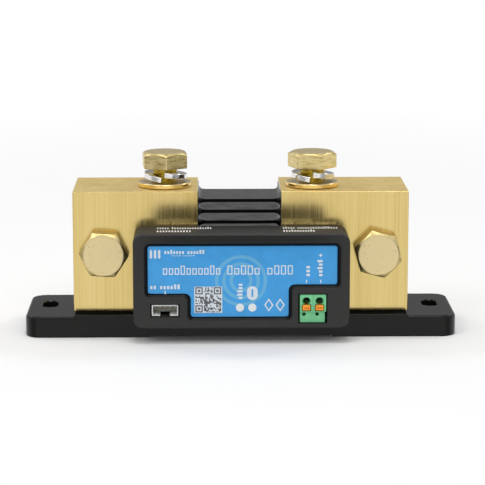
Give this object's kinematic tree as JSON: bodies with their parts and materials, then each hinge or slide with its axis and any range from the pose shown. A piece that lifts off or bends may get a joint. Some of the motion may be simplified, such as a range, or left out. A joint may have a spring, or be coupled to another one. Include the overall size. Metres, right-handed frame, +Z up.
{
  "type": "battery monitor shunt",
  "caption": "High-current battery shunt: brass terminal blocks joined by resistance blades on a black insulating base, with a sensing module, data socket and wire connector in front.",
  "frame": {"origin": "middle of the underside, below the centre of the whole outline", "axes": "+X right along the base, +Y to the back, +Z up; the label faces -Y"},
  "size_m": [0.17, 0.054, 0.0711],
  "materials": {
    "base_plastic": "moulded, glossy black",
    "block_brass": "brushed brass",
    "bolt_brass": "turned brass",
    "washer_brass": "stamped brass",
    "spring_nickel": "bright nickel plating",
    "blade_paint": "thick glossy black paint",
    "screw_zinc": "zinc plated",
    "housing_plastic": "fine matt texture",
    "label_print": "printed satin film",
    "light_pipe": "white diffusing plastic",
    "socket_plastic": "pale moulded plastic",
    "contact_pin": "gold flashed",
    "connector_green": "satin green plastic",
    "lever_orange": "satin orange plastic",
    "clamp_steel": "spring steel",
    "board_laminate": "solder resist",
    "chip_epoxy": "moulded epoxy",
    "can_metal": "tinned can",
    "led_body": "clear resin"
  },
  "bodies": {
    "root": {"base_plate": "base_plastic", "block_screw_1": "screw_zinc", "block_screw_2": "screw_zinc", "block_screw_3": "screw_zinc", "block_screw_4": "screw_zinc", "capacitor_1": "can_metal", "capacitor_2": "can_metal", "circuit_board": "board_laminate", "current_sense_amplifier": "chip_epoxy", "data_socket": "socket_plastic", "data_socket_pin_1": "contact_pin", "data_socket_pin_2": "contact_pin", "data_socket_pin_3": "contact_pin", "data_socket_pin_4": "contact_pin", "housing_back": "housing_plastic", "housing_screw_left": "screw_zinc", "housing_screw_right": "screw_zinc", "housing_shell": "housing_plastic", "indicator_led_1": "led_body", "indicator_led_2": "led_body", "label": "label_print", "light_pipe_1": "light_pipe", "light_pipe_2": "light_pipe", "microcontroller": "chip_epoxy", "power_inductor": "chip_epoxy", "radio_module": "can_metal", "resistance_blade_01": "blade_paint", "resistance_blade_02": "blade_paint", "resistance_blade_03": "blade_paint", "resistance_blade_04": "blade_paint", "resistance_blade_05": "blade_paint", "resistance_blade_06": "blade_paint", "resistance_blade_07": "blade_paint", "resistance_blade_08": "blade_paint", "resistance_blade_09": "blade_paint", "resistance_blade_10": "blade_paint", "sense_screw_left": "screw_zinc", "sense_screw_right": "screw_zinc", "sense_spacer_left": "washer_brass", "sense_spacer_right": "washer_brass", "terminal_block_left": "block_brass", "terminal_block_right": "block_brass", "wire_clamp_1": "clamp_steel", "wire_clamp_2": "clamp_steel", "wire_connector": "connector_green"},
    "flat_washer_left": {"flat_washer_left": "washer_brass"},
    "spring_washer_left": {"spring_washer_left": "spring_nickel"},
    "top_bolt_left": {"top_bolt_left": "bolt_brass"},
    "front_bolt_left": {"front_bolt_left": "bolt_brass"},
    "flat_washer_right": {"flat_washer_right": "washer_brass"},
    "spring_washer_right": {"spring_washer_right": "spring_nickel"},
    "top_bolt_right": {"top_bolt_right": "bolt_brass"},
    "front_bolt_right": {"front_bolt_right": "bolt_brass"},
    "release_lever_1": {"release_lever_1": "lever_orange"},
    "release_lever_2": {"release_lever_2": "lever_orange"}
  },
  "joints": [
    {"name": "top_bolt_left_lift_out", "type": "slide", "parent": "root", "child": "flat_washer_left", "axis": [0, 0, 1], "range_m": [0, 0.025]},
    {"name": "top_bolt_left_tighten", "type": "slide", "parent": "flat_washer_left", "child": "spring_washer_left", "axis": [0, 0, 1], "range_m": [-0.0034, 0], "deforming": ["spring_washer_left"]},
    {"name": "top_bolt_left_turn", "type": "hinge", "parent": "spring_washer_left", "child": "top_bolt_left", "pos_m": [-0.03, 0.0049, 0.0647], "axis": [0, 0, 1], "range_deg": [-816, 0]},
    {"name": "front_bolt_left_unscrew", "type": "slide", "parent": "root", "child": "front_bolt_left", "axis": [0, -1, 0], "range_m": [0, 0.026]},
    {"name": "top_bolt_right_lift_out", "type": "slide", "parent": "root", "child": "flat_washer_right", "axis": [0, 0, 1], "range_m": [0, 0.025]},
    {"name": "top_bolt_right_tighten", "type": "slide", "parent": "flat_washer_right", "child": "spring_washer_right", "axis": [0, 0, 1], "range_m": [-0.0034, 0], "deforming": ["spring_washer_right"]},
    {"name": "top_bolt_right_turn", "type": "hinge", "parent": "spring_washer_right", "child": "top_bolt_right", "pos_m": [0.0286, 0.0049, 0.0647], "axis": [0, 0, 1], "range_deg": [-816, 0]},
    {"name": "front_bolt_right_unscrew", "type": "slide", "parent": "root", "child": "front_bolt_right", "axis": [0, -1, 0], "range_m": [0, 0.026]},
    {"name": "release_lever_1_press", "type": "slide", "parent": "root", "child": "release_lever_1", "axis": [0, 1, 0], "range_m": [0, 0.0012], "stiffness_N_per_m": 1500},
    {"name": "release_lever_2_press", "type": "slide", "parent": "root", "child": "release_lever_2", "axis": [0, 1, 0], "range_m": [0, 0.0012], "stiffness_N_per_m": 1500}
  ],
  "couplings": [
    {"joint": "top_bolt_left_turn", "follows": "top_bolt_left_tighten", "rad_per_m": 4188.8},
    {"joint": "top_bolt_right_turn", "follows": "top_bolt_right_tighten", "rad_per_m": 4188.8}
  ]
}
